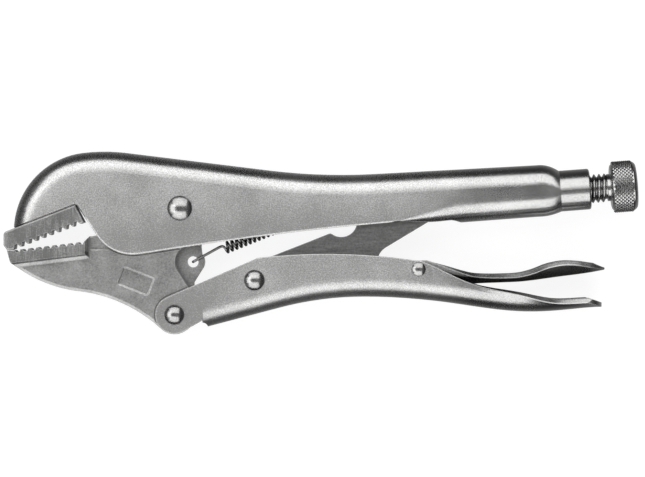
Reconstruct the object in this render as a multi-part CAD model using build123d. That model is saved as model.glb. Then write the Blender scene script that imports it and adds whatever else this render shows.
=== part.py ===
from build123d import *
import os
from math import acos, atan2, cos, degrees, hypot, pi, radians, sin, sqrt, tan

# Locking pliers with straight jaws, lying on one side with the jaws shut and the toggle locked.
# Sizes are in millimetres. The origin is on the main pivot, level with the flat of its lower rivet
# head. X runs back to the adjusting knob, Y up through the upper handle, Z across the tool.

# Overall length, sheet metal, widths across the tool and clearances
overall_length = 175.0
sheet = 1.7
handle_width = 12.6
jaw_side_gap = 0.25
link_side_gap = 1.3
lever_side_gap = 0.25
pin_gap = 0.05
rivet_fit = 0.02
seat_gap = 0.1
edge_bevel = 0.35

# Pivots in the plane of the tool, from the main pivot
handle_pivot_x = -1.5
handle_pivot_y = -29.3
link_pivot_x = 20.5
link_pivot_y = -19.8
lever_pivot_x = 65.7
lever_pivot_y = -16.8

# Rivets: full domes on the upper side, and domes with a flat in the middle on the side the tool lies on
main_shank_radius = 2.5
main_head_radius = 3.4
handle_shank_radius = 1.9
handle_head_radius = 2.75
link_shank_radius = 2.0
link_head_radius = 2.85
lever_shank_radius = 1.3
lever_head_radius = 1.95
rivet_head = 1.6
lever_rivet_head = 1.0
head_flat_share = 0.45
head_rim = 0.3

# Upper handle: the crown in side view, the cheeks under it, then the barrel behind them
crown_bend = 5.6
nose_front_x = -46.0
nose_y = -6.25
nose_radius = 21.7
shoulder_angle = 97.0
shoulder_radius = 49.3
fall_angle = 7.0
fall_run = 39.8
dip_radius = 164.0
rise_angle = 3.1
cheek_corner_round = 0.8
cheek_rear_angle = 123.5
cheek_sweep_radius = 12.0
cheek_low_x = -18.7
cheek_low_y = -13.8
cheek_low_angle = 8.8
cheek_low_run = 19.0
barrel_start = 6.6
barrel_start_depth = 13.5
barrel_closed = 22.0
barrel_closed_depth = 14.7
barrel_end_depth = 14.25
barrel_bend = 5.8
barrel_blend = 1.5
nearly_round = 0.99
slot_end = 23.5
slot_side_gap = 0.4

# Swaged tube end and adjusting screw, on an axis that rises towards the knob
screw_tilt = 4.3
tube_drop = 7.33
tube_radius = 5.65
tube_length = 8.3
tube_round = 0.6
swage_run = 6.4
screw_radius = 3.97
screw_gap = 0.06
screw_exposed = 4.7
screw_chamfer = 1.0
toggle_clearance = 2.7
collar_radius = 3.75
collar_length = 1.0
knob_radius = 7.15
knob_length = 7.2
knob_round = 1.1

# Jaws: the bite lines, the toothed blocks and the teeth
jaw_front_x = -48.5
tip_land = 1.2
tip_rise = 1.3
bite_x = -46.4
bite_y = -11.5
bite_gap = 0.12
upper_bite_angle = 20.9
upper_bite_length = 21.4
upper_block_height = 5.3
upper_rear_angle = 117.5
upper_front_round = 1.2
block_recess = 0.15
tooth_start = 1.75
tooth_pitch = 2.2
tooth_count = 9
tooth_mouth = 1.75
tooth_root = 0.75
upper_tooth_depth = 0.95
lower_tooth_depth = 0.7
lower_bite_angle = 6.9
lower_bite_length = 20.2
lower_block_height = 4.75
lower_block_bevel = 1.3
lower_block_rear_x = -24.9
tang_rear_angle = 38.4

# Moving jaw: body, neck, pivot eye, lobe, spring tab and a blank sunk panel
body_pad = 0.4
pad_margin = 0.5
eye_radius = 8.8
eye_end_angle = -52.0
lobe_radius = 5.45
lobe_start_angle = 15.0
neck_x = -22.9
neck_y = -7.5
neck_rise = 1.45
neck_angle = 125.0
neck_step_y = -11.4
throat_angle = -130.0
throat_bow = 2.2
belly_x = -29.0
belly_y = -22.75
belly_bow = 1.3
chin_x = -46.7
chin_y = -14.9
jaw_edge_bevel = 0.7
tab_x = 3.5
tab_y = -14.8
tab_radius = 3.35
tab_angle = 40.0
tab_hole_radius = 1.5
tab_thickness = 1.6
tab_recess_radius = 4.9
tab_recess_angle = -57.7
tab_recess_run = 12.0
tab_waist_x = 3.9
tab_waist_y = -20.4
panel_x = -12.1
panel_y = -20.1
panel_width = 9.2
panel_height = 5.4
panel_angle = -21.5
panel_depth = 0.5
panel_slope = 40.0
panel_round = 0.8

# Lower handle: ears, channel and flared tail
ear_radius = 5.2
ear_low_angle = 29.0
ear_relief_radius = 1.5
channel_front_x = 6.2
low_bend = 5.2
low_front_angle = 14.7
low_front_radius = 91.0
low_rear_radius = 160.0
low_rear_angle = 5.4
waist_x = 50.8
waist_y = -24.4
edge_front_x = 21.2
edge_front_y = -13.7
edge_top_x = 40.0
edge_top_y = -12.6
tail_end_x = 116.2
tail_half_width = 7.75
tail_corner_round = 4.5

# Release lever
lever_sheet = 1.6
lever_bend = 2.2
lever_nose_x = 54.5
lever_nose_y = -18.7
lever_ear_radius = 2.4
lever_ear_angle = 150.0
lever_tail_x = 117.1
lever_half_width = 7.75
lever_corner_round = 5.0

# Toggle link
link_reach = 54.0
link_angle = 22.7
link_half_height = 4.4
link_tip_radius = 3.2
link_hump_round = 1.0
link_hump_angle = 26.0
link_notch_along = 28.4
link_notch_rise = 5.9
link_notch_radius = 4.5
link_shin_angle = 31.0
link_heel_x = 54.3
link_heel_y = -16.6
link_knee_round = 5.0

# Return spring and the lug that holds its rear end
wire = 0.74
coil_radius = 1.36
coil_pitch = 1.33
coil_turns = 20
coil_start_x = 12.4
coil_start_y = -11.0
coil_angle = 21.8
hook_bend = 1.0
hook_tail = 2.2
hook_run = 7.0
lug_radius = 2.4
lug_thickness = 1.3
lug_hole_radius = 1.3
wire_samples = 6
wire_skip = 9

# Sizes and points that follow from the ones above
channel_gap = handle_width - 2 * sheet
jaw_width = channel_gap - 2 * jaw_side_gap
block_width = handle_width - 2 * block_recess
link_thickness = channel_gap - 2 * link_side_gap
lever_flat = channel_gap / 2 - lever_side_gap
half_stack = handle_width / 2 + rivet_head
main_pivot = (0.0, 0.0)
handle_pivot = (handle_pivot_x, handle_pivot_y)
link_pivot = (link_pivot_x, link_pivot_y)
lever_pivot = (lever_pivot_x, lever_pivot_y)
nose = (nose_front_x + nose_radius, nose_y)
bite = (bite_x, bite_y)
tab = (tab_x, tab_y)
far = 80.0
coil_axis = Vector(cos(radians(coil_angle)), sin(radians(coil_angle)), 0)
coil_side = Vector(-sin(radians(coil_angle)), cos(radians(coil_angle)), 0)

# Each station is its distance along, its lift, half its flat floor, the lean of its walls and their height
tail_stations = [
    (0.0, 0.0, handle_width / 2, 0.0, 14.0),
    (11.5, -0.3, 6.2, 3.0, 11.0),
    (22.5, -0.78, 5.3, 18.0, 9.0),
    (32.3, -0.35, 4.3, 38.0, 7.5),
    (42.0, 1.25, 4.6, 57.0, 4.5),
    (51.5, 2.8, 4.6, 82.0, 0.8),
]
lever_stations = [
    (54.5, -20.4, lever_flat, 0.0, 8.5),
    (60.0, -21.6, lever_flat, 0.0, 9.5),
    (66.0, -22.3, lever_flat, 0.0, 10.5),
    (74.0, -21.75, 3.1, 16.0, 9.0),
    (82.0, -20.9, 2.9, 42.0, 6.0),
    (90.0, -20.05, 2.9, 56.0, 5.0),
    (98.0, -19.35, 2.9, 57.0, 5.2),
    (108.0, -18.5, 2.9, 53.0, 5.2),
    (118.0, -17.3, 2.9, 55.0, 4.5),
]

# Top edges of the two troughs: place, height and half width of the inner edge, and the cut's lean
tail_edges = [
    (66.4, -14.6, 4.6, 0.0),
    (72.0, -17.0, 4.7, 1.0),
    (77.0, -19.35, 4.9, 4.0),
    (83.0, -21.3, 5.1, 11.0),
    (88.3, -22.3, 5.4, 18.0),
    (98.0, -24.05, 5.6, 38.0),
    (107.7, -24.9, 6.0, 57.0),
    (117.0, -25.1, 7.2, 66.0),
]
lever_edges = [
    (65.7, -14.4, 2.75, 0.0),
    (70.0, -15.05, 3.0, 6.0),
    (74.0, -15.65, 3.5, 18.0),
    (78.0, -16.0, 3.8, 26.0),
    (82.0, -16.25, 5.0, 44.0),
    (90.0, -16.3, 5.7, 57.0),
    (98.0, -15.2, 6.3, 57.0),
    (103.0, -14.25, 6.5, 54.0),
    (108.0, -14.05, 6.3, 53.0),
    (118.0, -14.9, 5.0, 55.0),
]


def at(start, length, angle):
    """The point a length away from start, at an angle in degrees from X."""
    return (start[0] + length * cos(radians(angle)), start[1] + length * sin(radians(angle)))


def toward(start, end):
    """The angle in degrees of the line from one point to another."""
    return degrees(atan2(end[1] - start[1], end[0] - start[0]))


def arc(center, radius, first, last):
    """The arc about a centre from one angle to another."""
    return ThreePointArc(*[at(center, radius, angle) for angle in (first, (first + last) / 2, last)])


def bowed(start, end, bow):
    """A shallow arc between two points that bows to the left of its travel."""
    middle = ((start[0] + end[0]) / 2, (start[1] + end[1]) / 2)
    return ThreePointArc(start, at(middle, bow, toward(start, end) + 90), end)


def meet(start, angle, other, other_angle):
    """Where two lines cross, each given by a point and an angle."""
    gap_x, gap_y = other[0] - start[0], other[1] - start[1]
    across = gap_x * sin(radians(other_angle)) - gap_y * cos(radians(other_angle))
    return at(start, across / sin(radians(other_angle - angle)), angle)


def touch(center, radius, point, side):
    """Where a line from a point touches a circle, on its left (1) or right (-1) seen from the centre."""
    distance = hypot(point[0] - center[0], point[1] - center[1])
    return at(center, radius, toward(center, point) + side * degrees(acos(radius / distance)))


def polygon(*points):
    """The face inside a closed run of straight lines."""
    return make_face(Polyline(*points, close=True))


def disc(center, radius):
    """A round face in the plane of the tool."""
    return Pos(*center) * Circle(radius)


def slab(face, width):
    """A face in the plane of the tool, thickened evenly about the middle plane."""
    return extrude(face, width / 2, both=True)


def side_layers(face, inner_width, outer_width):
    """A face made into two slabs, one on each side of the tool, between two widths."""
    return slab(face, outer_width) - slab(face, inner_width)


def pin_hole(pivot, radius):
    """A round hole right across the tool."""
    return Pos(*pivot) * Cylinder(radius, far)


def corner(face, point):
    """The corner of a face nearest to a point."""
    return face.vertices().sort_by_distance((*point, 0))[0]


def side_edges(solid, points, width):
    """The edges of a slab that run past given points of its outline, on both sides."""
    edges = ShapeList()
    for x, y in points:
        for z in (-width / 2, width / 2):
            edges.append(solid.edges().sort_by_distance((x, y, z))[0])
    return edges


def middles(edges):
    """The middle point of each edge, in the plane of the tool."""
    return [((edge @ 0.5).X, (edge @ 0.5).Y) for edge in edges]


def cross_plane(point, angle):
    """The plane square to a direction in the tool's plane, with its own Y pointing downwards."""
    return Plane(origin=(*point, 0), x_dir=(0, 0, 1), z_dir=(cos(radians(angle)), sin(radians(angle)), 0))


def on_axis(distance):
    """A point of the screw's axis, measured back from the end of the tube."""
    return at(tube_end, distance, screw_tilt)


def rod(first, last, radius):
    """A round bar along the screw's axis between two distances."""
    return extrude(cross_plane(on_axis(first), screw_tilt) * Circle(radius), last - first)


# Line of the upper jaw's seat: the block's top, and the cheeks' edge just above it
block_top = at(bite, upper_block_height, upper_bite_angle + 90)
cheek_seat = at(bite, upper_block_height + seat_gap, upper_bite_angle + 90)


def crown(inset, foot_angle):
    """Edges of the crown from the nose to its rising run, drawn inside by an inset, and their end."""
    normal_fall, normal_rise = 90 - fall_angle, 90 + rise_angle
    shoulder = at(nose, nose_radius - shoulder_radius, shoulder_angle)
    fall_start = at(shoulder, shoulder_radius - inset, normal_fall)
    fall_end = at(fall_start, fall_run, -fall_angle)
    dip = at(fall_end, dip_radius + inset, normal_fall)
    rise = at(dip, dip_radius + inset, normal_rise - 180)
    edges = [
        arc(nose, nose_radius - inset, foot_angle, shoulder_angle),
        arc(shoulder, shoulder_radius - inset, shoulder_angle, normal_fall),
        Line(fall_start, fall_end),
        arc(dip, dip_radius + inset, normal_fall - 180, normal_rise - 180),
        Line(rise, at(rise, barrel_start, rise_angle)),
    ]
    return edges, at(rise, barrel_start, rise_angle)


seat_normal = upper_bite_angle + 90
seat_height = hypot(cheek_seat[0] - nose[0], cheek_seat[1] - nose[1]) * cos(
    radians(toward(nose, cheek_seat) - seat_normal)
)
foot_angle = seat_normal + degrees(acos(seat_height / nose_radius))
foot = at(nose, nose_radius, foot_angle)
crown_edges, barrel_top = crown(0, foot_angle)

# The tube's end stands off the knob's end, which closes the overall length, and the barrel runs up to it
knob_reach = screw_exposed + collar_length + knob_length
knob_corner = hypot(knob_reach - knob_round, knob_radius - knob_round)
knob_corner_angle = degrees(atan2(knob_radius - knob_round, knob_reach - knob_round))
knob_lean = knob_corner * cos(radians(knob_corner_angle - screw_tilt))
tube_end_x = jaw_front_x + overall_length - knob_round - knob_lean
tube_along = (tube_end_x - barrel_top[0] - tube_drop * sin(radians(rise_angle))) / cos(radians(rise_angle))
tube_end = at(at(barrel_top, tube_along, rise_angle), tube_drop, rise_angle - 90)
barrel_end = barrel_start + tube_along - tube_length - swage_run


def cheek_face():
    """Side outline of the folded front of the upper handle."""
    rear_low = at(barrel_top, barrel_start_depth, rise_angle - 90)
    sweep = (cheek_low_x, cheek_low_y)
    sweep_end = at(sweep, cheek_low_run, cheek_low_angle)
    notch = meet(cheek_seat, upper_bite_angle, sweep, cheek_rear_angle)
    face = make_face(crown_edges + [
        Line(barrel_top, rear_low),
        TangentArc(sweep_end, rear_low, tangent=at(main_pivot, 1, cheek_low_angle)),
        Line(sweep_end, sweep),
        Line(sweep, notch),
        Line(notch, foot),
    ])
    face = fillet(corner(face, sweep), cheek_sweep_radius)
    return fillet(corner(face, notch), cheek_corner_round)


def boxed(plane, half, top, low, top_radius, low_radius):
    """A cross-section with four rounded corners, between a top and a low edge."""
    face = polygon((-half, top), (half, top), (half, low), (-half, low))
    face = fillet(face.vertices().sort_by(Axis.Y)[:2], top_radius)
    return plane * fillet(face.vertices().sort_by(Axis.Y)[-2:], low_radius)


def barrel_section(along, depth, low_radius, inset):
    """Cross-section of the upper handle at a distance along its rising run."""
    plane = cross_plane(at(barrel_top, along - barrel_start, rise_angle), rise_angle)
    return boxed(plane, handle_width / 2 - inset, inset, depth - inset, crown_bend - inset, low_radius)


def tube_section(distance, radius):
    """Round section of the swaged end, with the same corners as the barrel."""
    plane = cross_plane(on_axis(distance), screw_tilt)
    return boxed(plane, radius, -radius, radius, radius * nearly_round, radius * nearly_round)


def folded_front():
    """The front of the upper handle: two flat cheeks under a rounded crown."""
    face = cheek_face()
    top = middles(crown_edges)
    rear = at(barrel_top, barrel_start_depth / 2, rise_angle - 90)
    rolled = top + [rear]
    low = []
    for x, y in middles(face.edges()):
        if min(hypot(x - other[0], y - other[1]) for other in rolled) > sheet:
            low.append((x, y))
    solid = fillet(side_edges(slab(face, handle_width), top, handle_width), crown_bend)
    return chamfer(side_edges(solid, low, handle_width), edge_bevel)


def under_crown(inset):
    """Face of the space under the crown, open below."""
    edges, end = crown(inset, 180)
    front = at(nose, nose_radius - inset, 180)
    rear_low = at(end, far / 2, rise_angle - 90)
    front_low = (front[0], rear_low[1])
    return make_face(edges + [Line(end, rear_low), Line(rear_low, front_low), Line(front_low, front)])


def front_hollow():
    """The space between the cheeks, open below."""
    face = under_crown(sheet)
    solid = slab(face, channel_gap)
    front = at(nose, nose_radius - sheet, 180)
    points = middles(crown(sheet, 180)[0]) + [(front[0], front[1] - 1)]
    return fillet(side_edges(solid, points, channel_gap), crown_bend - sheet)


def barrel_slot():
    """The slot under the barrel's front that the toggle link swings in, with a round end."""
    down = rise_angle - 90
    start = at(at(barrel_top, -barrel_start, rise_angle), barrel_closed_depth / 2, down)
    plane = Plane(
        origin=(*start, 0),
        x_dir=(cos(radians(rise_angle)), sin(radians(rise_angle)), 0),
        z_dir=(cos(radians(down)), sin(radians(down)), 0),
    )
    half = link_thickness / 2 + slot_side_gap
    length = slot_end - half
    outline = Pos(length / 2, 0) * Rectangle(length, 2 * half) + Pos(length, 0) * Circle(half)
    return extrude(plane * outline, barrel_closed_depth)


def spring_lug():
    """The tongue that the spring's rear hook goes through, running up past the crown."""
    tongue = disc(lug, lug_radius) + Pos(lug[0], lug[1] + far / 2) * Rectangle(2 * lug_radius, far)
    return slab(tongue - disc(lug, lug_hole_radius), lug_thickness)


def upper_handle():
    """The folded upper handle with its closed barrel, swaged tube end and spring lug."""
    start = barrel_section(barrel_start, barrel_start_depth, edge_bevel, 0)
    closed = barrel_section(barrel_closed, barrel_closed_depth, barrel_bend, 0)
    end = barrel_section(barrel_end, barrel_end_depth, barrel_bend, 0)
    blend = barrel_section(barrel_end + barrel_blend, barrel_end_depth, barrel_bend, 0)
    swaged = tube_section(-tube_length, tube_radius)
    tube = rod(-tube_length, 0, tube_radius)
    outer = folded_front() + loft([start, closed], ruled=True) + loft([closed, end], ruled=True)
    outer += loft([end, blend, swaged])
    outer += fillet(tube.edges().sort_by(Axis.X)[-1:], tube_round)

    inner_bend = barrel_bend - sheet
    inner_start = barrel_section(barrel_start, barrel_start_depth, inner_bend, sheet)
    inner_end = barrel_section(barrel_end, barrel_end_depth, inner_bend, sheet)
    bore = screw_radius + screw_gap
    hollow = front_hollow() + loft([inner_start, inner_end], ruled=True)
    hollow += loft([inner_end, tube_section(-tube_length, bore)], ruled=True)
    hollow += rod(-tube_length, far, bore)
    hollow += barrel_slot()
    handle = outer - hollow + (spring_lug() & outer)
    return handle - pin_hole(main_pivot, main_shank_radius + rivet_fit)


def tooth_gaps(start, angle, depth):
    """The row of gaps between a jaw's teeth, right across it, upwards or downwards by the depth's sign."""
    mouth, root = tooth_mouth - tooth_root / 2, tooth_root / 2
    cutter = slab(polygon((-mouth, -depth), (mouth, -depth), (root, depth), (-root, depth)), far)
    places = [at(start, tooth_start + tooth_pitch * i, angle) for i in range(tooth_count)]
    return [Pos(*place) * Rot(0, 0, angle) * cutter for place in places]


def fixed_jaw():
    """The upper jaw: a toothed block under the cheeks and a tang that fills the nose between them."""
    bite_end = at(bite, upper_bite_length, upper_bite_angle)
    rear_top = meet(block_top, upper_bite_angle, bite_end, upper_rear_angle)
    front_top = meet(block_top, upper_bite_angle, (jaw_front_x, 0), 90)
    front_low = (jaw_front_x, bite_y + tip_rise)
    face = polygon(bite, bite_end, rear_top, front_top, front_low, (bite_x - tip_land, bite_y))
    face = fillet(corner(face, front_top), upper_front_round)
    block = slab(face, block_width)
    block = chamfer(side_edges(block, middles(face.edges()), block_width), edge_bevel)

    low_rear = at(rear_top, upper_block_height / 2, upper_bite_angle - 90)
    room = polygon(
        low_rear,
        rear_top,
        at(rear_top, far, tang_rear_angle),
        (-far, far),
        at(low_rear, far, upper_bite_angle + 180),
    )
    inset = sheet + seat_gap
    width = channel_gap - 2 * seat_gap
    tang = slab(under_crown(inset), width)
    front = at(nose, nose_radius - inset, 180)
    points = middles(crown(inset, 180)[0]) + [(front[0], front[1] - 1)]
    tang = fillet(side_edges(tang, points, width), crown_bend - inset)
    jaw = block + (tang & slab(room, width))
    return jaw - tooth_gaps(bite, upper_bite_angle, upper_tooth_depth)


low_bite = (bite_x, bite_y - bite_gap)


def jaw_face():
    """Side outline of the moving jaw."""
    tip = (bite_x - tip_land, low_bite[1])
    bite_end = at(low_bite, lower_bite_length, lower_bite_angle)
    block_rear = (lower_block_rear_x, bite_end[1] + neck_rise)
    neck = (neck_x, neck_y)
    eye_start, eye_end = at(main_pivot, eye_radius, neck_angle), at(main_pivot, eye_radius, eye_end_angle)
    tab_start, tab_end = at(tab, tab_radius, tab_angle), at(tab, tab_radius, -tab_angle)
    lobe_start = at(handle_pivot, lobe_radius, lobe_start_angle)
    lobe_end = at(handle_pivot, lobe_radius, throat_angle)
    waist = (tab_waist_x, tab_waist_y)
    belly, chin = (belly_x, belly_y), (chin_x, chin_y)
    return make_face([
        Line(tip, low_bite),
        Line(low_bite, bite_end),
        Line(bite_end, block_rear),
        Line(block_rear, neck),
        Line(neck, eye_start),
        arc(main_pivot, eye_radius, neck_angle, eye_end_angle),
        Line(eye_end, tab_start),
        arc(tab, tab_radius, tab_angle, -tab_angle),
        Line(tab_end, waist),
        Line(waist, lobe_start),
        arc(handle_pivot, lobe_radius, lobe_start_angle, throat_angle),
        bowed(lobe_end, belly, -throat_bow),
        bowed(belly, chin, belly_bow),
        Line(chin, tip),
    ])


def ear_face():
    """Side outline of the lower handle's ears, from the handle pivot back to the channel's front."""
    edge_front = (edge_front_x, edge_front_y)
    top = touch(handle_pivot, ear_radius, edge_front, 1)
    low = at(handle_pivot, ear_radius, ear_low_angle - 90)
    low_rear = meet(low, ear_low_angle, (channel_front_x, 0), 90)
    floor_front = floor_edges(0)[0] @ 0
    bend_top = (channel_front_x, floor_front.Y + low_bend / cos(radians(low_front_angle)))
    return polygon(handle_pivot, low, low_rear, bend_top, edge_front, top) + disc(handle_pivot, ear_radius)


def moving_jaw():
    """The lower jaw: toothed block, body, neck between the cheeks, lobe between the ears and spring tab."""
    face = jaw_face()
    body_width = jaw_width + 2 * body_pad
    body = slab(face, body_width)
    body = chamfer(side_edges(body, middles(face.edges()), body_width), jaw_edge_bevel)
    sweep = (cheek_low_x, cheek_low_y)
    under_cheek = at(sweep, pad_margin, cheek_low_angle - 90)
    behind_cheek = at(sweep, pad_margin, cheek_rear_angle + 90)
    turn = meet(under_cheek, cheek_low_angle, behind_cheek, cheek_rear_angle)
    cheeks = polygon(turn, at(turn, far, cheek_low_angle), (0, far), at(turn, far, cheek_rear_angle))
    cheeks = fillet(corner(cheeks, turn), cheek_sweep_radius + pad_margin)
    above_step = Pos(lower_block_rear_x + far / 2, neck_step_y + far / 2) * Rectangle(far, far)
    body -= side_layers(cheeks, jaw_width, far)
    body -= side_layers(above_step, jaw_width, far)
    body -= side_layers(offset(ear_face(), pad_margin), jaw_width, far)

    step = at(low_bite, lower_block_height, lower_bite_angle - 90)
    step_rear = meet(step, lower_bite_angle, (lower_block_rear_x, 0), 90)
    step_front = at(step_rear, far, lower_bite_angle + 180)
    room = polygon(step_rear, (lower_block_rear_x, far), (step_front[0], far), step_front)
    block_face = face & room
    block = slab(block_face, block_width)
    step_middle = at(step_rear, lower_bite_length / 2, lower_bite_angle + 180)
    rear_middle = (lower_block_rear_x, step_rear[1] + 1)
    block = chamfer(side_edges(block, [step_middle, rear_middle], block_width), lower_block_bevel)

    recess = disc(tab, tab_recess_radius)
    recess += Pos(*tab) * Rot(0, 0, tab_recess_angle) * Pos(tab_recess_run / 2, 0) * Rectangle(
        tab_recess_run, 2 * tab_recess_radius
    )
    panel = RectangleRounded(panel_width, panel_height, panel_round)
    panel = Pos(panel_x, panel_y, body_width / 2) * Rot(0, 0, panel_angle) * panel
    jaw = body + block
    jaw -= side_layers(recess, tab_thickness, far)
    jaw -= extrude(panel, -panel_depth, taper=panel_slope)
    jaw -= pin_hole(main_pivot, main_shank_radius + pin_gap)
    jaw -= pin_hole(handle_pivot, handle_shank_radius + pin_gap)
    jaw -= pin_hole(tab, tab_hole_radius)
    return jaw - tooth_gaps(low_bite, lower_bite_angle, -lower_tooth_depth)


def rivet_dome(head_radius, head_height, flat):
    """A rivet's upper head, domed down to its rim from a flat of a given radius."""
    base = handle_width / 2
    rim, top = base + head_rim, base + head_height
    dome = (0, (flat**2 + top**2 - head_radius**2 - rim**2) / (2 * (top - rim)))
    first, last = (head_radius, rim), (flat, top)
    outline = [
        Line((0, base), (head_radius, base)),
        Line((head_radius, base), first),
        arc(dome, hypot(head_radius, rim - dome[1]), toward(dome, first), toward(dome, last)),
        Line((0, top), (0, base)),
    ]
    if flat > 0:
        outline.append(Line(last, (0, top)))
    return revolve(Plane.XZ * make_face(outline), Axis.Z)


def rivet(pivot, shank_radius, head_radius, head_height):
    """A rivet across the tool, with a domed head above and one with a flat below."""
    upper = rivet_dome(head_radius, head_height, 0)
    lower = mirror(rivet_dome(head_radius, head_height, head_flat_share * head_radius), Plane.XY)
    return Pos(*pivot) * (Cylinder(shank_radius, handle_width) + upper + lower)


def floor_edges(inset):
    """Edges of the lower handle's floor from its front to the flared tail, raised by an inset."""
    front_center = (waist_x, waist_y - low_front_radius)
    rear_center = (waist_x, waist_y - low_rear_radius)
    bend_start = at(front_center, low_front_radius + inset, 90 + low_front_angle)
    start = meet(bend_start, low_front_angle, (channel_front_x, 0), 90)
    return [
        Line(start, bend_start),
        arc(front_center, low_front_radius + inset, 90 + low_front_angle, 90),
        arc(rear_center, low_rear_radius + inset, 90, 90 - low_rear_angle),
    ]


def channel_front(inset, width, bend):
    """The straight-walled front of the lower handle's channel, as one solid rounded underneath."""
    edges = floor_edges(inset)
    start, end = edges[0] @ 0, edges[-1] @ 1
    top = at((end.X, end.Y), far / 2, 90 - low_rear_angle)
    face = make_face(edges + [
        Line(end, (*top, 0)),
        Line((*top, 0), (start.X, top[1], 0)),
        Line((start.X, top[1], 0), start),
    ])
    return fillet(side_edges(slab(face, width), middles(edges), width), bend)


def trough_section(plane, lift, flat, lean, height, bend, inset):
    """Cross-section of a trough with a flat floor, rounded bends and leaning walls, moved in by an inset."""
    half = flat - inset * (1 - sin(radians(lean))) / cos(radians(lean))
    spread = half + height * tan(radians(lean))
    low = -lift - inset
    face = polygon((-half, low), (half, low), (spread, low - height), (-spread, low - height))
    return plane * fillet(face.vertices().sort_by(Axis.Y)[-2:], bend - inset)


def space_above(edges):
    """The space above a trough's top edges, with its underside sloping so that the sheet is cut square."""
    sections = []
    for x, top, half, lean in edges:
        fall = tan(radians(lean))
        wide = 2 * handle_width
        ridge, eaves = -half * fall, (wide - half) * fall
        roof = polygon((0, ridge), (wide, eaves), (wide, -far), (-wide, -far), (-wide, eaves))
        sections.append(cross_plane((x, top), 0) * roof)
    return loft(sections)


def lower_handle():
    """The stamped lower handle: two ears, a channel and a tail that flares into a shallow trough."""
    joint = floor_edges(0)[-1] @ 1
    slope = -low_rear_angle
    planes = [cross_plane(at((joint.X, joint.Y), station[0], slope), slope) for station in tail_stations]
    tails = []
    for inset in (0, sheet):
        shapes = [station[1:] for station in tail_stations]
        tails.append(loft([trough_section(p, *shape, low_bend, inset) for p, shape in zip(planes, shapes)]))
    outer = channel_front(0, handle_width, low_bend) + tails[0]
    outer += side_layers(ear_face(), channel_gap, handle_width)
    handle = outer - channel_front(sheet, channel_gap, low_bend - sheet) - tails[1]

    edge_front, edge_top = (edge_front_x, edge_front_y), (edge_top_x, edge_top_y)
    edge_rear = tail_edges[0][:2]
    ear_top = touch(handle_pivot, ear_radius, edge_front, 1)
    above = make_face([
        Line(ear_top, edge_front),
        ThreePointArc(edge_front, edge_top, edge_rear),
        Line(edge_rear, (edge_rear[0], far)),
        Line((edge_rear[0], far), (ear_top[0], far)),
        Line((ear_top[0], far), ear_top),
    ])
    handle -= slab(above, far)
    handle -= space_above(tail_edges)
    handle &= plan_outline(tail_end_x, tail_half_width, tail_corner_round)
    handle -= pin_hole((channel_front_x, (floor_edges(0)[0] @ 0).Y), ear_relief_radius)
    handle -= pin_hole(handle_pivot, handle_shank_radius + rivet_fit)
    handle -= pin_hole(link_pivot, link_shank_radius + rivet_fit)
    return handle - pin_hole(lever_pivot, lever_shank_radius + rivet_fit)


def plan_outline(end_x, half_width, corner_round):
    """A tall block that trims a handle to its outline in plan, with rounded corners at its tail."""
    face = polygon((-far, -half_width), (end_x, -half_width), (end_x, half_width), (-far, half_width))
    face = fillet(face.vertices().sort_by(Axis.X)[-2:], corner_round)
    return extrude(Plane.XZ * face, far, both=True)


def release_lever():
    """The stamped release lever: a narrow trough that opens out into a thumb tail."""
    sections = []
    for inset in (0, lever_sheet):
        planes = [cross_plane(station[:2], 0) for station in lever_stations]
        shapes = [station[2:] for station in lever_stations]
        sections.append([trough_section(p, 0, *shape, lever_bend, inset) for p, shape in zip(planes, shapes)])
    lever = loft(sections[0]) - loft(sections[1])
    nose_edge = (lever_nose_x - 1, lever_nose_y)
    ear_front = at(lever_pivot, lever_ear_radius, lever_ear_angle)
    ear_start = meet(nose_edge, 0, ear_front, lever_ear_angle - 90)
    ear_top = at(lever_pivot, lever_ear_radius, 90)
    above = make_face([
        Line(nose_edge, ear_start),
        Line(ear_start, ear_front),
        arc(lever_pivot, lever_ear_radius, lever_ear_angle, 90),
        Line(ear_top, (lever_pivot_x, far)),
        Line((lever_pivot_x, far), (nose_edge[0], far)),
        Line((nose_edge[0], far), nose_edge),
    ])
    lever -= slab(above, far)
    lever -= space_above(lever_edges)
    lever &= plan_outline(lever_tail_x, lever_half_width, lever_corner_round)
    return lever - pin_hole(lever_pivot, lever_shank_radius + pin_gap)


def toggle_link():
    """The flat toggle link, with a scallop in its top edge and a deep heel under its middle."""
    top_angle = link_angle + degrees(acos((link_half_height - link_tip_radius) / link_reach))
    heel = (link_heel_x, link_heel_y)
    shin = at(link_tip, link_tip_radius, link_shin_angle - 90)
    knee = meet(shin, link_shin_angle, heel, 90)
    face = polygon(
        link_pivot,
        at(link_pivot, link_half_height, top_angle),
        at(link_tip, link_tip_radius, top_angle),
        link_tip,
        shin,
        knee,
        heel,
        touch(link_pivot, link_half_height, heel, -1),
    )
    face += disc(link_pivot, link_half_height) + disc(link_tip, link_tip_radius)
    notch = at(at(link_pivot, link_notch_along, link_angle), link_notch_rise, link_angle + 90)
    face = fillet(corner(face, knee), link_knee_round) - disc(notch, link_notch_radius)
    hump = at(notch, link_notch_radius, link_angle + 180 + link_hump_angle)
    face = fillet(corner(face, hump), link_hump_round)
    return slab(face, link_thickness) - pin_hole(link_pivot, link_shank_radius + pin_gap)


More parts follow.
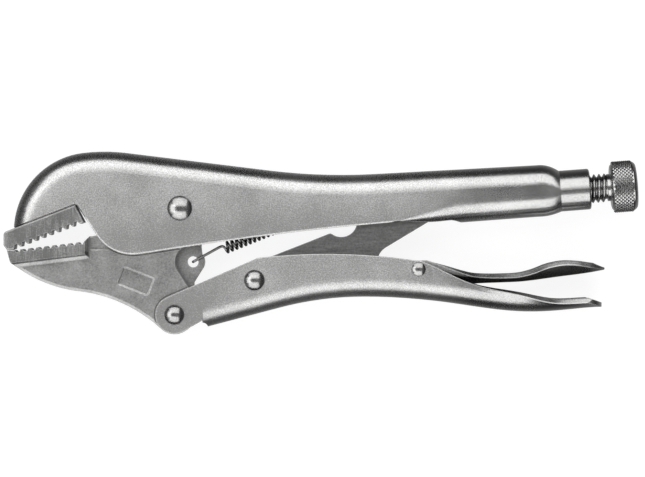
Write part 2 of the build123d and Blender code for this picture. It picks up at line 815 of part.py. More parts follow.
def adjusting_screw():
    """The adjusting screw with its collar and knob."""
    tip = link_reach_on_screw + link_tip_radius + toggle_clearance
    knob_start = screw_exposed + collar_length
    shank = rod(tip, screw_exposed, screw_radius)
    ends = shank.edges().filter_by(GeomType.CIRCLE).sort_by(Axis.X)
    shank = chamfer(ends[0], screw_chamfer)
    knob = rod(knob_start, knob_start + knob_length, knob_radius)
    rims = knob.edges().filter_by(GeomType.CIRCLE)
    return shank + rod(screw_exposed, knob_start, collar_radius) + fillet(rims, knob_round)


def coil_point(angle):
    """A point of the spring's coil and its direction there, after an angle of winding."""
    turn = radians(angle)
    center = Vector(coil_start_x, coil_start_y, 0) + coil_axis * (coil_pitch * angle / 360)
    point = center + Vector(0, 0, coil_radius * cos(turn)) - coil_side * (coil_radius * sin(turn))
    heading = Vector(0, 0, -sin(turn)) - coil_side * cos(turn)
    return point, (heading * (2 * pi * coil_radius) + coil_axis * coil_pitch).normalized()


def biarc(start, heading, end, end_heading):
    """Two arcs that join two points smoothly, leaving and arriving in given directions."""
    span = end - start
    both = heading + end_heading
    spare = 2 * (1 - heading.dot(end_heading))
    along = span.dot(both)
    reach = (sqrt(along * along + spare * span.dot(span)) - along) / spare
    middle = (start + heading * reach + end - end_heading * reach) * 0.5
    first = TangentArc(start, middle, tangent=heading)
    return [first, TangentArc(middle, end, tangent=first % 1)]


# The spring's rear hook ends in the lug, and the link's free end faces the screw's tip
coil_end, coil_heading = coil_point(360 * coil_turns)
lug_reach = coil_end + coil_heading * hook_bend + coil_axis * hook_run
lug = (lug_reach.X, lug_reach.Y)
link_tip = at(link_pivot, link_reach, link_angle)
tip_distance = hypot(link_tip[0] - tube_end[0], link_tip[1] - tube_end[1])
link_reach_on_screw = tip_distance * cos(radians(toward(tube_end, link_tip) - screw_tilt))


def return_spring():
    """The tension spring: one wire from the jaw's tab through its coils to the lug under the crown."""
    across = Vector(0, 0, 1)
    start, heading = coil_point(0)
    front_corner = start - heading * hook_bend
    tab_top = Vector(tab_x, tab_y, coil_radius)
    front_way = (front_corner - tab_top).normalized()
    rear_top = Vector(*lug, coil_radius)
    end, end_heading = coil_point(360 * coil_turns)
    rear_corner = end + end_heading * hook_bend

    front_run = tab_top + front_way * hook_bend
    front_bend = front_corner - front_way * hook_bend
    rear_bend = rear_corner + coil_axis * hook_bend
    rear_run = rear_top - coil_axis * hook_bend
    path = [
        Line(Vector(tab_x, tab_y, -hook_tail), tab_top - across * hook_bend),
        TangentArc(tab_top - across * hook_bend, front_run, tangent=across),
        Line(front_run, front_bend),
        TangentArc(front_bend, start, tangent=front_way),
    ]
    for half_turn in range(2 * coil_turns):
        path += biarc(*coil_point(180 * half_turn), *coil_point(180 * (half_turn + 1)))
    path += [
        TangentArc(end, rear_bend, tangent=end_heading),
        Line(rear_bend, rear_run),
        TangentArc(rear_run, rear_top - across * hook_bend, tangent=coil_axis),
        Line(rear_top - across * hook_bend, Vector(*lug, -hook_tail)),
    ]
    points = [edge @ (i / wire_samples) for edge in path for i in range(wire_samples)]
    apart = [
        (points[i] - points[j]).length
        for i in range(len(points))
        for j in range(i + wire_skip, len(points))
    ]
    print("least gap of the spring to itself, mm:", round(min(apart) - wire, 3))
    section = Plane(origin=path[0] @ 0, z_dir=across) * Circle(wire / 2)
    return sweep(section, path=Wire(path))


pieces = {
    "upper_handle": upper_handle(),
    "fixed_jaw": fixed_jaw(),
    "moving_jaw": moving_jaw(),
    "lower_handle": lower_handle(),
    "toggle_link": toggle_link(),
    "release_lever": release_lever(),
    "adjusting_screw": adjusting_screw(),
    "return_spring": return_spring(),
    "jaw_pivot_rivet": rivet(main_pivot, main_shank_radius, main_head_radius, rivet_head),
    "handle_pivot_rivet": rivet(handle_pivot, handle_shank_radius, handle_head_radius, rivet_head),
    "link_pivot_rivet": rivet(link_pivot, link_shank_radius, link_head_radius, rivet_head),
    "lever_pivot_rivet": rivet(lever_pivot, lever_shank_radius, lever_head_radius, lever_rivet_head),
}

os.makedirs("parts", exist_ok=True)
for name, piece in pieces.items():
    export_step(Pos(0, 0, half_stack) * piece, f"parts/{name}.step")
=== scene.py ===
import math

import bmesh
import bpy
from mathutils import Matrix, Vector


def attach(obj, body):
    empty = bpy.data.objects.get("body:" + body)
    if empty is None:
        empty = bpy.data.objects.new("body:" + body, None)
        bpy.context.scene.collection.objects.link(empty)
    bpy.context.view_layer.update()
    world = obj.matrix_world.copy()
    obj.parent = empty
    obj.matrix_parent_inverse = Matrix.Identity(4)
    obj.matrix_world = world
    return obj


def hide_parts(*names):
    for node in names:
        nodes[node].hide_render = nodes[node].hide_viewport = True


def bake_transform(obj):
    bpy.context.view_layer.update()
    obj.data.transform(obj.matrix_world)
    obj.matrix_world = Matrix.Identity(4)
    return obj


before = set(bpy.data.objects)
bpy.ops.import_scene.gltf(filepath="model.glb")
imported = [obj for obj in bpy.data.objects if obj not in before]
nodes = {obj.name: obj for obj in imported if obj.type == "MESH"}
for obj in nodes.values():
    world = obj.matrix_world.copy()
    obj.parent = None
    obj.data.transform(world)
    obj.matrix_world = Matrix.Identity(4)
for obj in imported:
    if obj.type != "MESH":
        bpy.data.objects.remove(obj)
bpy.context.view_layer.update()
mm = 0.001
midPlane = 7.9 * mm  # the tool lies flat, so its middle plane is this far above the floor
print("frame loaded:", len(nodes), "solids")


class Value:
    # one socket of a node tree; sums on it add Math nodes
    def __init__(self, tree, socket):
        self.tree, self.socket = tree, socket

    def sum(self, operation, first, second):
        return self.tree.add("ShaderNodeMath", {"operation": operation}, {0: first, 1: second})

    def __add__(self, other):
        return self.sum("ADD", self, other)

    def __radd__(self, other):
        return self.sum("ADD", other, self)

    def __sub__(self, other):
        return self.sum("SUBTRACT", self, other)

    def __rsub__(self, other):
        return self.sum("SUBTRACT", other, self)

    def __mul__(self, other):
        return self.sum("MULTIPLY", self, other)

    def __rmul__(self, other):
        return self.sum("MULTIPLY", other, self)

    def __truediv__(self, other):
        return self.sum("DIVIDE", self, other)

    def __rtruediv__(self, other):
        return self.sum("DIVIDE", other, self)


class Tree:
    # a node tree and the one way in which nodes are put into it
    def __init__(self, nodeTree):
        self.nodeTree = nodeTree

    def add(self, kind, settings=None, inputs=None, output=0):
        node = self.nodeTree.nodes.new(kind)
        for name, setting in (settings or {}).items():
            if name == "stops":
                ramp = node.color_ramp.elements
                while len(ramp) < len(setting):
                    ramp.new(0.5)
                for element, (place, shade) in zip(ramp, setting):
                    element.position = place
                    element.color = (shade, shade, shade, 1)
            else:
                setattr(node, name, setting)
        for name, given in (inputs or {}).items():
            # a list is several links into one socket
            for value in given if isinstance(given, list) else [given]:
                if isinstance(value, Value):
                    self.nodeTree.links.new(value.socket, node.inputs[name])
                else:
                    node.inputs[name].default_value = value
        if node.outputs:
            return Value(self, node.outputs[output])


def newMaterial(name):
    material = bpy.data.materials.new(name)
    material.use_nodes = True
    material.node_tree.nodes.clear()
    return material, Tree(material.node_tree)


def closeMaterial(tree, colour, rough, bump):
    # bare metal: what varies is linked, and the rest is set on the shader's own sockets
    inputs = {"Base Color": colour, "Roughness": rough, "Metallic": 1.0, "Normal": bump}
    shader = tree.add("ShaderNodeBsdfPrincipled", None, inputs)
    tree.add("ShaderNodeOutputMaterial", None, {"Surface": shader})


def vectorMath(tree, operation, first, second, output=0):
    return tree.add("ShaderNodeVectorMath", {"operation": operation}, {0: first, 1: second}, output)


def axisOf(tree, vector, axis):
    return tree.add("ShaderNodeSeparateXYZ", None, {"Vector": vector}, axis)


def lessThan(tree, value, limit):
    return tree.add("ShaderNodeMath", {"operation": "LESS_THAN"}, {0: value, 1: limit})


def objectPlace(tree):
    return tree.add("ShaderNodeTexCoord", None, None, "Object")


def stretched(tree, scale):
    # object coordinates, stretched where a roll mark or a grind mark runs one way
    return vectorMath(tree, "MULTIPLY", objectPlace(tree), scale)


def noise(tree, vector, scale, detail, rough):
    # a random pattern with 0 as its middle
    pattern = tree.add(
        "ShaderNodeTexNoise",
        None,
        {"Vector": vector, "Scale": scale, "Detail": detail, "Roughness": rough},
    )
    return pattern - 0.5


def grey(tree, factor, look):
    # inputs 6 and 7 are the two colours, and output 2 is their mix
    return tree.add(
        "ShaderNodeMix",
        {"data_type": "RGBA"},
        {"Factor": factor, 6: (*look["dark"], 1), 7: (*look["light"], 1)},
        2,
    )


def smoothStep(tree, value, start, end):
    # 0 before the start, 1 past the end and an easy slope between
    return tree.add(
        "ShaderNodeMapRange",
        {"interpolation_type": "SMOOTHSTEP"},
        {"Value": value, "From Min": start, "From Max": end, "To Min": 0.0, "To Max": 1.0},
    )


edgeWear = {
    "samples": 8,
    "steep": (0.40, 0.55),  # upward part of the normal, where a wall turns into a chamfer
    "level": (0.97, 0.88),  # and where the top does
}


def roundedEdge(tree, radius, lift=None):
    # the normal softened round every edge, and how near an edge the point is
    soft = tree.add("ShaderNodeBevel", {"samples": edgeWear["samples"]}, {"Radius": radius})
    flat = tree.add("ShaderNodeNewGeometry", None, None, "Normal")
    facing = vectorMath(tree, "DOT_PRODUCT", soft, flat, "Value")
    # rubbed edges are flatter than a round, so half of the turn is kept
    half = vectorMath(tree, "ADD", soft, flat)
    if lift is not None:
        # a chamfer that faces up is worn flatter still
        upright = axisOf(tree, flat, "Z")
        pastWall = smoothStep(tree, upright, *edgeWear["steep"])
        shortOfTop = smoothStep(tree, upright, *edgeWear["level"])
        up = tree.add("ShaderNodeCombineXYZ", None, {"Z": pastWall * shortOfTop * lift})
        half = vectorMath(tree, "ADD", half, up)
    worn = tree.add("ShaderNodeVectorMath", {"operation": "NORMALIZE"}, {0: half})
    return worn, 1 - facing


def crevice(tree, reach):
    # painted shade: 0 in the open and up to 1 in a corner, where the colour is darkened as shade
    # falls in corners and recesses
    settings = {"samples": edgeWear["samples"], "only_local": True}
    openness = tree.add("ShaderNodeAmbientOcclusion", settings, {"Distance": reach}, "AO")
    return 1 - openness


def bumped(tree, height, strength, depth, normal):
    return tree.add(
        "ShaderNodeBump",
        None,
        {"Strength": strength, "Distance": depth, "Height": height, "Normal": normal},
    )


# in every look: a pattern is its scale, detail and roughness; tint, dull and relief are the
# weights of the patterns in the tone, the roughness and the bump; bump is strength and depth
platedLook = {
    "dark": (0.38, 0.38, 0.375),
    "light": (0.76, 0.76, 0.755),
    "tone": 0.33,
    "rough": 0.42,
    "cloud": (70, 3.0, 0.6),
    "speckle": (3300, 3.0, 0.7),
    "fine": (8910, 1.0, 0.5),
    "tint": {"cloud": 0.8, "speckle": 3.6, "edge": 2.2, "crevice": 0.5},
    "dull": {"cloud": 0.12, "speckle": 0.2, "edge": 1.0},
    "relief": {"speckle": 0.7, "fine": 0.3},
    "bump": (0.4, 0.05 * mm),
    "grain": 1.0,
    "rolled": (55 * mm, 100 * mm),  # where the sheet is rolled round, and so smoother
    "rolledGrain": 0.6,  # how much of the speckle the rolling takes away
    "rolledGloss": 0.17,
    "bent": (0.98, 0.75),  # upward part of the normal, squared, from flat sheet to bend
    "bendGloss": 0.14,
    "shadeWay": (0, 1, 0),  # painted light and shade: the tone lightens along this direction, between two places, by so much
    "shaded": (-8 * mm, 6 * mm, 0.40),
    "crevice": 2 * mm,
    "edge": 0.55 * mm,
    "lift": 1.6,
    "cutFrom": -36 * mm,  # the cut edges of the cheeks lie between these two and below the third
    "cutTo": 60 * mm,
    "cutTop": -1 * mm,
    "cutFade": 3 * mm,
}
# the lower handle's darker copy of the plate, with painted shade that darkens the ear at the pivot
# end
lowerLook = {
    **platedLook,
    "tone": 0.22,
    "bendGloss": 0.08,
    "shadeWay": (1, 0, 0),
    "shaded": (3 * mm, 22 * mm, 0.40),
    "cutFrom": -15 * mm,
    "cutTo": 5.5 * mm,
    "cutTop": 0.0,
}
# a darker copy of the plate for the lever, with painted shade: dark towards its underside, lighter
# towards its rim
leverLook = {
    **platedLook,
    "dark": (0.07, 0.07, 0.069),
    "light": (0.66, 0.66, 0.655),
    "tone": 0.42,
    "grain": 0.4,
    "lift": None,
    "rolled": (200 * mm, 300 * mm),  # past the tip, so none of it is
    "shaded": (-20.5 * mm, -14.2 * mm, 0.7),
}


def cutEdges(tree, place, look):
    # 1 where the cut edges of the sheet are, and 0 on the rest of the piece
    across, upward = axisOf(tree, place, "X"), axisOf(tree, place, "Y")
    start, end, top, fade = (look[key] for key in ("cutFrom", "cutTo", "cutTop", "cutFade"))
    ahead = smoothStep(tree, across, start, start + fade)
    behind = smoothStep(tree, across, end, end - fade)
    beneath = smoothStep(tree, upward, top, top - fade)
    return ahead * behind * beneath


def platedSheet(name, look):
    # tumbled nickel plate: fine speckle in the gloss, soft cloudy tone, edges rubbed bright and
    # lightened further as a painted highlight
    material, tree = newMaterial(name)
    tint, dull, relief = look["tint"], look["dull"], look["relief"]
    place = objectPlace(tree)
    lift = cutEdges(tree, place, look) * look["lift"] if look["lift"] else None
    soft, edge = roundedEdge(tree, look["edge"], lift)
    cloud = noise(tree, place, *look["cloud"])
    speckle = noise(tree, place, *look["speckle"])
    fine = noise(tree, place, *look["fine"])
    rolled = smoothStep(tree, axisOf(tree, place, "X"), *look["rolled"])
    facing = tree.add("ShaderNodeTexCoord", None, None, "Normal")
    level = axisOf(tree, facing, "Z")
    bent = smoothStep(tree, level * level, *look["bent"])
    # painted light and shade: the tone darkens or lightens with place along the piece
    along = vectorMath(tree, "DOT_PRODUCT", place, look["shadeWay"], "Value")
    low, high, shade = look["shaded"]
    paintedShadeGradient = (smoothStep(tree, along, low, high) - 0.5) * shade * (1 - rolled)
    grain = (1 - rolled * look["rolledGrain"]) * look["grain"]
    tone = look["tone"] + paintedShadeGradient + cloud * tint["cloud"] + speckle * tint["speckle"] * grain
    # painted shade darkens the tone in corners and recesses
    tone = tone + edge * tint["edge"] - crevice(tree, look["crevice"]) * tint["crevice"]
    gloss = rolled * look["rolledGloss"] + bent * (1 - rolled) * look["bendGloss"]
    rough = look["rough"] - gloss + cloud * dull["cloud"] + speckle * dull["speckle"] * grain
    rough = rough + edge * dull["edge"]
    height = (speckle * relief["speckle"] + fine * relief["fine"]) * grain
    bump = bumped(tree, height, *look["bump"], soft)
    closeMaterial(tree, grey(tree, tone, look), rough, bump)
    return material


jawLook = {
    "dark": (0.26, 0.26, 0.256),
    "light": (0.60, 0.60, 0.595),
    "tone": 0.46,
    "rough": 0.40,
    "speckle": (2500, 3.0, 0.7),
    "cloud": (150, 3.0, 0.5),
    "streak": (1.0, 3.0, 0.6),
    "streakWay": (2600, 160, 160),  # close together along X, so the grinding runs up the block
    "tint": {"speckle": 1.8, "cloud": 1.2, "streak": 1.3, "edge": 2.8, "crevice": 1.3},
    "dull": {"speckle": 0.16, "streak": 0.2, "edge": 1.2},
    "relief": {"speckle": 0.5, "streak": 0.8},
    "bump": (0.4, 0.05 * mm),
    "crevice": 1.7 * mm,
    "edge": 0.40 * mm,
    "lift": 1.5,
    "biteFront": (-46.4 * mm, -11.62 * mm),
    "biteSlope": math.tan(math.radians(6.9)),
    "blockRear": -25.2 * mm,
    "blockHeight": 4.0 * mm,
    "blockTone": -0.32,
    "ledge": (2.6 * mm, 3.0 * mm),  # below the bite, the step down stays dark from here
    "ledgeEnd": (4.2 * mm, 3.7 * mm),  # to here
}


def groundJaw(name, look):
    # forged steel; the toothed blocks are ground across the grip and darker than the body
    material, tree = newMaterial(name)
    tint, dull, relief = look["tint"], look["dull"], look["relief"]
    place = objectPlace(tree)
    across, upward = axisOf(tree, place, "X"), axisOf(tree, place, "Y")
    frontX, frontY = look["biteFront"]
    below = frontY + (across - frontX) * look["biteSlope"] - upward
    ahead = lessThan(tree, across, look["blockRear"])
    block = lessThan(tree, below, look["blockHeight"]) * ahead
    ledge = smoothStep(tree, below, *look["ledge"]) * smoothStep(tree, below, *look["ledgeEnd"])
    soft, edge = roundedEdge(tree, look["edge"], (1 - ledge * ahead) * look["lift"])
    streak = noise(tree, stretched(tree, look["streakWay"]), *look["streak"])
    speckle = noise(tree, place, *look["speckle"])
    cloud = noise(tree, place, *look["cloud"])
    # edges are lightened partly as wear, partly as a painted highlight
    tone = look["tone"] + speckle * tint["speckle"] + cloud * tint["cloud"] + edge * tint["edge"]
    # painted shade darkens the tone in corners and recesses
    tone = tone - crevice(tree, look["crevice"]) * tint["crevice"]
    tone = tone + block * (streak * tint["streak"] + look["blockTone"])
    rough = look["rough"] + speckle * dull["speckle"] + block * streak * dull["streak"]
    rough = rough + edge * dull["edge"]
    height = block * streak * relief["streak"] + speckle * relief["speckle"]
    bump = bumped(tree, height, *look["bump"], soft)
    closeMaterial(tree, grey(tree, tone, look), rough, bump)
    return material


linkLook = {
    "dark": (0.19, 0.19, 0.188),
    "light": (0.42, 0.42, 0.415),
    "tone": 0.5,
    "rough": 0.33,
    "roll": (1.0, 3.0, 0.6),
    "rollWay": (200, 1700, 900),
    "speckle": (1900, 3.0, 0.7),
    "tint": {"roll": 0.8, "speckle": 1.3, "edge": 1.8},
    "dull": {"roll": 0.12, "speckle": 0.12},
    "relief": {"roll": 0.5, "speckle": 0.5},
    "bump": (0.3, 0.05 * mm),
    "edge": 0.4 * mm,
}


def linkSteel(name, look):
    # the stamped link: duller, with the roll marks of the bar along its length
    material, tree = newMaterial(name)
    tint, dull, relief = look["tint"], look["dull"], look["relief"]
    soft, edge = roundedEdge(tree, look["edge"])
    roll = noise(tree, stretched(tree, look["rollWay"]), *look["roll"])
    speckle = noise(tree, objectPlace(tree), *look["speckle"])
    # edges are lightened partly as wear, partly as a painted highlight
    tone = look["tone"] + roll * tint["roll"] + speckle * tint["speckle"] + edge * tint["edge"]
    rough = look["rough"] + roll * dull["roll"] + speckle * dull["speckle"]
    height = roll * relief["roll"] + speckle * relief["speckle"]
    bump = bumped(tree, height, *look["bump"], soft)
    closeMaterial(tree, grey(tree, tone, look), rough, bump)
    return material


turnedLook = {
    "tone": 0.5,
    "mottle": (420, 2.0, 0.5),
    "scratch": (2600, 3.0, 0.7),
    "tint": {"mottle": 0.7, "scratch": 1.2, "edge": 1.2},
    "dull": {"mottle": 0.10, "scratch": 0.08},
    "bump": (0.25, 0.03 * mm),
}
rivetLook = {
    **turnedLook,
    "dark": (0.26, 0.26, 0.256),
    "light": (0.56, 0.56, 0.555),
    "rough": 0.23,
    "edge": 0.2 * mm,
}
screwLook = {
    **turnedLook,
    "dark": (0.33, 0.33, 0.326),
    "light": (0.66, 0.66, 0.655),
    "rough": 0.20,
    "edge": 0.08 * mm,
}
wireLook = {
    **turnedLook,
    "dark": (0.15, 0.15, 0.148),
    "light": (0.36, 0.36, 0.355),
    "rough": 0.24,
    "edge": 0.05 * mm,
}


def turnedSteel(name, look):
    # bright bar or wire: a little mottling and fine scratches
    material, tree = newMaterial(name)
    tint, dull = look["tint"], look["dull"]
    place = objectPlace(tree)
    soft, edge = roundedEdge(tree, look["edge"])
    mottle = noise(tree, place, *look["mottle"])
    scratch = noise(tree, place, *look["scratch"])
    # edges are lightened partly as wear, partly as a painted highlight
    tone = look["tone"] + mottle * tint["mottle"] + scratch * tint["scratch"] + edge * tint["edge"]
    rough = look["rough"] + mottle * dull["mottle"] + scratch * dull["scratch"]
    bump = bumped(tree, scratch, *look["bump"], soft)
    closeMaterial(tree, grey(tree, tone, look), rough, bump)
    return material


plate = platedSheet("platedSheet", platedLook)
lowerShadedPlate = platedSheet("lowerShadedPlate", lowerLook)
leverShadedPlate = platedSheet("leverShadedPlate", leverLook)
jawSteel = groundJaw("groundJaw", jawLook)
linkBar = linkSteel("linkSteel", linkLook)
rivetSteel = turnedSteel("rivetSteel", rivetLook)
screwSteel = turnedSteel("screwSteel", screwLook)
springWire = turnedSteel("springWire", wireLook)

finishOf = {
    "upper_handle": plate,
    "lower_handle": lowerShadedPlate,
    "fixed_jaw": jawSteel,
    "moving_jaw": jawSteel,
    "toggle_link": linkBar,
    "jaw_pivot_rivet": rivetSteel,
    "handle_pivot_rivet": rivetSteel,
    "link_pivot_rivet": rivetSteel,
    "lever_pivot_rivet": rivetSteel,
}
for nodeName, finish in finishOf.items():
    nodes[nodeName].data.materials.clear()
    nodes[nodeName].data.materials.append(finish)
print("finishes on", len(finishOf), "solids")


def addObject(name, data):
    made = bpy.data.objects.new(name, data)
    bpy.context.scene.collection.objects.link(made)
    return made


def plainMesh(name, base, modifier):
    # what the modifier makes of the base, as a mesh of its own
    graph = bpy.context.evaluated_depsgraph_get()
    graph.update()
    mesh = bpy.data.meshes.new_from_object(base.evaluated_get(graph), depsgraph=graph)
    base.modifiers.remove(modifier)
    bpy.data.objects.remove(base)
    mesh.name = name
    return mesh


def turnedMesh(name, profile, around):
    # a lathe: (place along Z, radius) points swung round Z, with a flat cap at each end
    shape = bmesh.new()
    rings = []
    for along, radius in profile:
        ring = []
        for step in range(around):
            angle = 2 * math.pi * step / around
            x, y = radius * math.cos(angle), radius * math.sin(angle)
            ring.append(shape.verts.new((x, y, along)))
        rings.append(ring)
    for low, high in zip(rings, rings[1:]):
        for step in range(around):
            after = (step + 1) % around
            shape.faces.new((low[step], low[after], high[after], high[step]))
    shape.faces.new(list(reversed(rings[0])))
    shape.faces.new(rings[-1])
    mesh = bpy.data.meshes.new(name)
    shape.to_mesh(mesh)
    shape.free()
    return mesh


def nodeGroup(name, sizes):
    group = bpy.data.node_groups.new(name, "GeometryNodeTree")
    group.interface.new_socket("Geometry", in_out="OUTPUT", socket_type="NodeSocketGeometry")
    group.interface.new_socket("Geometry", in_out="INPUT", socket_type="NodeSocketGeometry")
    for label, value in sizes.items():
        kind = "NodeSocketInt" if isinstance(value, int) else "NodeSocketFloat"
        group.interface.new_socket(label, in_out="INPUT", socket_type=kind)
    group.interface.new_socket("Finish", in_out="INPUT", socket_type="NodeSocketMaterial")
    tree = Tree(group)
    entry = group.nodes.new("NodeGroupInput")
    given = {socket.name: Value(tree, socket) for socket in entry.outputs if socket.name}
    return group, tree, given


def closeGroup(tree, geometry, finish):
    real = tree.add("GeometryNodeRealizeInstances", None, {"Geometry": geometry})
    painted = tree.add("GeometryNodeSetMaterial", None, {"Geometry": real, "Material": finish})
    tree.add("NodeGroupOutput", None, {"Geometry": painted})


def grown(name, base, group, sizes, finish, place):
    # runs the tree on a base object and keeps the result as a plain mesh, in place
    modifier = base.modifiers.new(name, "NODES")
    modifier.node_group = group
    wanted = {**sizes, "Finish": finish}
    for item in group.interface.items_tree:
        if item.in_out == "INPUT" and item.name in wanted:
            modifier[item.identifier] = wanted[item.name]
    mesh = plainMesh(name, base, modifier)
    mesh.transform(place)
    return addObject(name, mesh)


# adjusting screw: rolled thread, plain neck and a diamond-knurled knob
screwSizes = {
    "Thread Start": -36.4 * mm,
    "Thread Length": 41.0 * mm,
    "Pitch": 1.411 * mm,
    "Root Radius": 3.12 * mm,
    "Thread Depth": 0.85 * mm,
    "Root Share": 0.92,  # widths of the ridge at root and crest, as shares of the pitch
    "Crest Share": 0.16,
    "Steps per Turn": 40,
    "Knob Start": 6.42 * mm,
    "Knurl Radius": 6.80 * mm,
    "Knurl Step": 0.52 * mm,
    "Knurl Height": 0.33 * mm,
    "Knurl Rows": 10,
    "Knurl Around": 38,
    "Tooth Cover": 0.98,  # how much of its cell a knurl tooth fills
    "Tooth Top": 0.12,
}
screwPlace = {"tubeEnd": (113.18 * mm, 5.351 * mm, midPlane), "tilt": 4.3, "around": 96}
screwProfile = [  # along the axis from the tube's end, radius
    (-37.16, 1.2),
    (-37.16, 2.9),
    (-36.6, 3.12),
    (4.62, 3.12),
    (4.7, 3.6),
    (4.85, 3.75),
    (5.6, 3.75),
    (5.7, 3.85),
    (5.7, 5.5),
    (5.8, 5.95),
    (6.15, 6.4),
    (6.7, 6.74),
    (6.8, 6.75),
    (11.85, 6.75),
    (11.95, 6.74),
    (12.45, 6.4),
    (12.8, 5.95),
    (12.9, 5.5),
    (12.9, 1.2),
]


def threadRidge(tree, given):
    # one trapezium swept along a spiral
    radius = given["Root Radius"] + given["Thread Depth"] * 0.5
    spiral = tree.add(
        "GeometryNodeCurveSpiral",
        None,
        {
            "Resolution": given["Steps per Turn"],
            "Rotations": given["Thread Length"] / given["Pitch"],
            "Start Radius": radius,
            "End Radius": radius,
            "Height": given["Thread Length"],
        },
    )
    upright = tree.add("GeometryNodeSetCurveNormal", {"mode": "Z_UP"}, {"Curve": spiral})
    section = tree.add(
        "GeometryNodeCurvePrimitiveQuadrilateral",
        {"mode": "TRAPEZOID"},
        {
            "Height": given["Thread Depth"],
            "Bottom Width": given["Pitch"] * given["Root Share"],
            "Top Width": given["Pitch"] * given["Crest Share"],
            "Offset": 0.0,
        },
    )
    section = tree.add(
        "GeometryNodeTransform", None, {"Geometry": section, "Rotation": (0, 0, math.pi / 2)}
    )
    ridge = tree.add(
        "GeometryNodeCurveToMesh",
        None,
        {"Curve": upright, "Profile Curve": section, "Fill Caps": True},
    )
    lift = tree.add("ShaderNodeCombineXYZ", None, {"Z": given["Thread Start"]})
    return tree.add("GeometryNodeTransform", None, {"Geometry": ridge, "Translation": lift})


def knurlTeeth(tree, given):
    # pyramids in staggered rows
    around, reach, cover = given["Knurl Around"], given["Knurl Radius"], given["Tooth Cover"]
    index = tree.add("GeometryNodeInputIndex")
    row = tree.add("ShaderNodeMath", {"operation": "FLOOR"}, {0: index / around})
    column = index - row * around
    odd = tree.add("ShaderNodeMath", {"operation": "FLOORED_MODULO"}, {0: row, 1: 2.0})
    angle = (column + odd * 0.5) * (2 * math.pi) / around
    cosine = tree.add("ShaderNodeMath", {"operation": "COSINE"}, {0: angle})
    sine = tree.add("ShaderNodeMath", {"operation": "SINE"}, {0: angle})
    along = given["Knob Start"] + (row + 0.5) * given["Knurl Step"]
    outward = tree.add("ShaderNodeCombineXYZ", None, {"X": cosine, "Y": sine, "Z": 0.0})
    seat = tree.add(
        "ShaderNodeCombineXYZ", None, {"X": cosine * reach, "Y": sine * reach, "Z": along}
    )
    seats = tree.add(
        "GeometryNodePoints", None, {"Count": given["Knurl Rows"] * around, "Position": seat}
    )
    tooth = tree.add(
        "GeometryNodeMeshCone",
        None,
        {"Vertices": 4, "Radius Top": given["Tooth Top"], "Radius Bottom": 1.0, "Depth": 1.0},
    )
    turn = tree.add(
        "FunctionNodeAxesToRotation",
        {"primary_axis": "Z", "secondary_axis": "X"},
        {"Primary Axis": outward, "Secondary Axis": (0, 0, 1)},
    )
    size = tree.add(
        "ShaderNodeCombineXYZ",
        None,
        {
            "X": given["Knurl Step"] * cover,
            "Y": reach * math.pi / around * cover,
            "Z": given["Knurl Height"],
        },
    )
    return tree.add(
        "GeometryNodeInstanceOnPoints",
        None,
        {"Points": seats, "Instance": tooth, "Rotation": turn, "Scale": size},
    )


def screwTree(sizes):
    group, tree, given = nodeGroup("screwTree", sizes)
    parts = [knurlTeeth(tree, given), threadRidge(tree, given), given["Geometry"]]
    joined = tree.add("GeometryNodeJoinGeometry", None, {0: parts})
    closeGroup(tree, joined, given["Finish"])
    return group


core = turnedMesh(
    "screwCore",
    [(along * mm, radius * mm) for along, radius in screwProfile],
    screwPlace["around"],
)
onAxis = (
    Matrix.Translation(screwPlace["tubeEnd"])
    @ Matrix.Rotation(math.radians(screwPlace["tilt"]), 4, "Z")
    @ Matrix.Rotation(math.pi / 2, 4, "Y")
)
screw = grown(
    "knurledScrew",
    addObject("screwCore", core),
    screwTree(screwSizes),
    screwSizes,
    screwSteel,
    onAxis,
)
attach(screw, "screw")
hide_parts("adjusting_screw")
print("screw:", len(screw.data.polygons), "faces")


# release lever: a pressed trough whose walls lean out into the thumb tail
leverSizes = {  # in mm and degrees
    "sheet": 1.6,
    "bend": 2.2,
    "bendSteps": 6,
    "bendShare": 0.95,  # how much of a low wall the bend may take up
    "wallSteps": 4,
    "pivot": (65.7, -16.8),
    "hole": 1.38,
    "drill": 12,  # how far the drill reaches to each side
    "drillSides": 48,
    "between": 5,  # sections put in between two stations
    "tip": 117.9,  # the sheet is ground thin towards here
    "taper": 4.2,
    "merge": 0.0001,
    "sharp": 32,  # a corner over this many degrees stays sharp
    "stations": [  # place, floor, half width of the floor, lean and length of the walls
        (54.5, -20.4, 4.35, 0, 1.7),
        (61.5, -21.85, 4.35, 0, 3.15),
        (62.7, -22.0, 4.35, 0, 4.9),
        (63.8, -22.1, 4.35, 0, 6.8),
        (65.5, -22.25, 4.35, 0, 7.8),
        (67.6, -22.2, 4.2, 2, 7.8),
        (70, -22.05, 3.75, 6, 6.95),
        (74, -21.75, 3.0, 16, 5.5),
        (78, -21.2, 2.85, 29, 3.7),
        (82, -20.75, 2.85, 42, 2.35),
        (88, -20.5, 2.9, 52, 2.0),
        (93, -20.3, 2.9, 56, 2.15),
        (97, -19.9, 2.9, 56, 3.1),
        (101, -19.35, 2.9, 55, 4.7),
        (105, -18.8, 2.9, 54, 5.15),
        (109, -18.3, 2.9, 55, 4.45),
        (112.5, -17.8, 2.9, 58, 2.95),
        (115.3, -17.3, 2.5, 64, 1.6),
        (117.1, -16.95, 1.4, 68, 0.8),
    ],
}


def slope(before, here, after):
    # the steepest pass through a station at which the run stays between its neighbours
    if (here - before) * (after - here) <= 0:
        return 0
    return min(abs(after - before) / 2, 3 * abs(here - before), 3 * abs(after - here))


